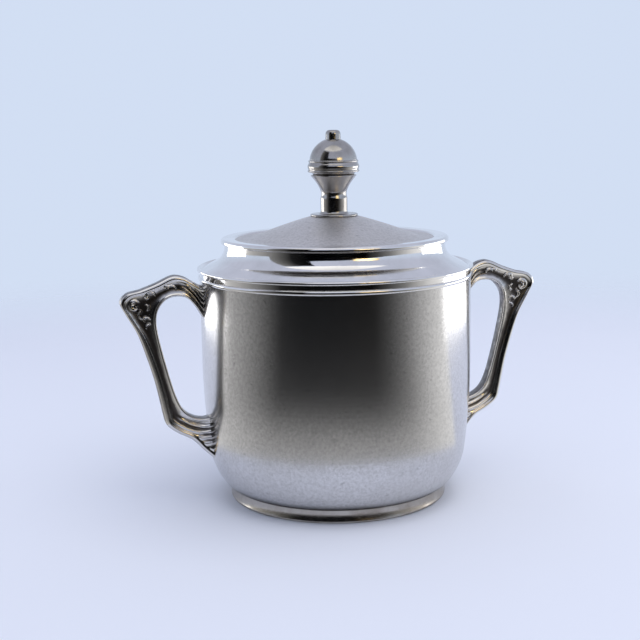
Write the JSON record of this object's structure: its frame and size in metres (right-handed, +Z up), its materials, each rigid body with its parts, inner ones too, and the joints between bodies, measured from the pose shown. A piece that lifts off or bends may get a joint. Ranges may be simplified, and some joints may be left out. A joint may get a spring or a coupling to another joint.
{
  "type": "sugar bowl",
  "caption": "Round covered bowl with angular cast side handles, a low foot ring, a flared neck and a lift-off domed lid with a ball finial.",
  "frame": {"origin": "on the bowl's axis, at the underside of the foot ring", "axes": "+Z up along the bowl's axis; +X through the right handle, -X through the left handle; the front faces -Y"},
  "size_m": [0.14, 0.0896, 0.1191],
  "materials": {
    "satin_silver": "satin silver plate, worn and slightly tarnished",
    "polished_silver": "polished silver plate with fine spinning lines",
    "cast_silver": "cast silver plate, bright on the ridges and dark in the recesses",
    "brass_fixings": "plain turned brass"
  },
  "bodies": {
    "bowl": {"body_shell": "satin_silver", "neck_collar": "polished_silver", "seam_wire": "polished_silver", "foot_ring": "polished_silver", "handle_left": "cast_silver", "handle_right": "cast_silver"},
    "lid": {"lid_dome": "satin_silver", "lid_rim": "polished_silver", "lid_bezel": "satin_silver", "finial_base": "polished_silver", "finial_stem": "polished_silver", "finial_cup": "polished_silver", "finial_ball_lower": "polished_silver", "finial_girdle": "polished_silver", "finial_ball_upper": "polished_silver", "finial_tip": "polished_silver", "finial_rod": "brass_fixings", "finial_washer": "brass_fixings", "finial_nut": "brass_fixings"}
  },
  "joints": [
    {"name": "lid_lift", "type": "slide", "parent": "bowl", "child": "lid", "axis": [0, 0, 1], "range_m": [0, 0.06]}
  ]
}
